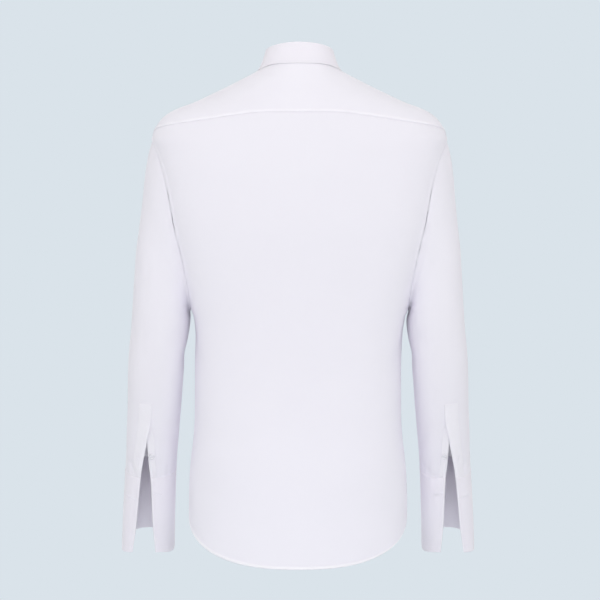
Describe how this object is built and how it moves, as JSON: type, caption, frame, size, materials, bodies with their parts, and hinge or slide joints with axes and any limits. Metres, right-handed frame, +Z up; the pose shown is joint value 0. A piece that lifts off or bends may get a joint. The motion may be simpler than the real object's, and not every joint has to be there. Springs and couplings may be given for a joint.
{
  "type": "long sleeve dress shirt",
  "caption": "Long sleeve dress shirt, filled out with no wearer: turn-down collar, back yoke, set-in sleeves with plackets, unfolded open double cuffs and a curved shirt-tail hem.",
  "frame": {"origin": "middle of the neck, level with the seam of the collar at centre back, where the neck and shoulders hold the shirt up", "axes": "+Z up; -Y is the way the wearer faces, so the back is towards +Y; +X is the wearer's left"},
  "size_m": [0.5743, 0.2516, 0.828],
  "materials": {
    "shirting": "matt fine poplin weave, slightly lavender white",
    "buttons": "satin white"
  },
  "bodies": {
    "root": {"back": "shirting", "yoke": "shirting", "front_left": "shirting", "front_right": "shirting", "collar_stand": "shirting", "collar_leaf": "shirting", "sleeve_left": "shirting", "sleeve_right": "shirting", "gauntlet_left": "shirting", "gauntlet_right": "shirting", "underlap_left": "shirting", "underlap_right": "shirting", "cuff_left": "shirting", "cuff_right": "shirting", "button_front_1": "buttons", "button_front_2": "buttons", "button_front_3": "buttons", "button_front_4": "buttons", "button_front_5": "buttons", "button_front_6": "buttons", "button_collar": "buttons", "button_placket_left": "buttons", "button_placket_right": "buttons"}
  },
  "joints": []
}
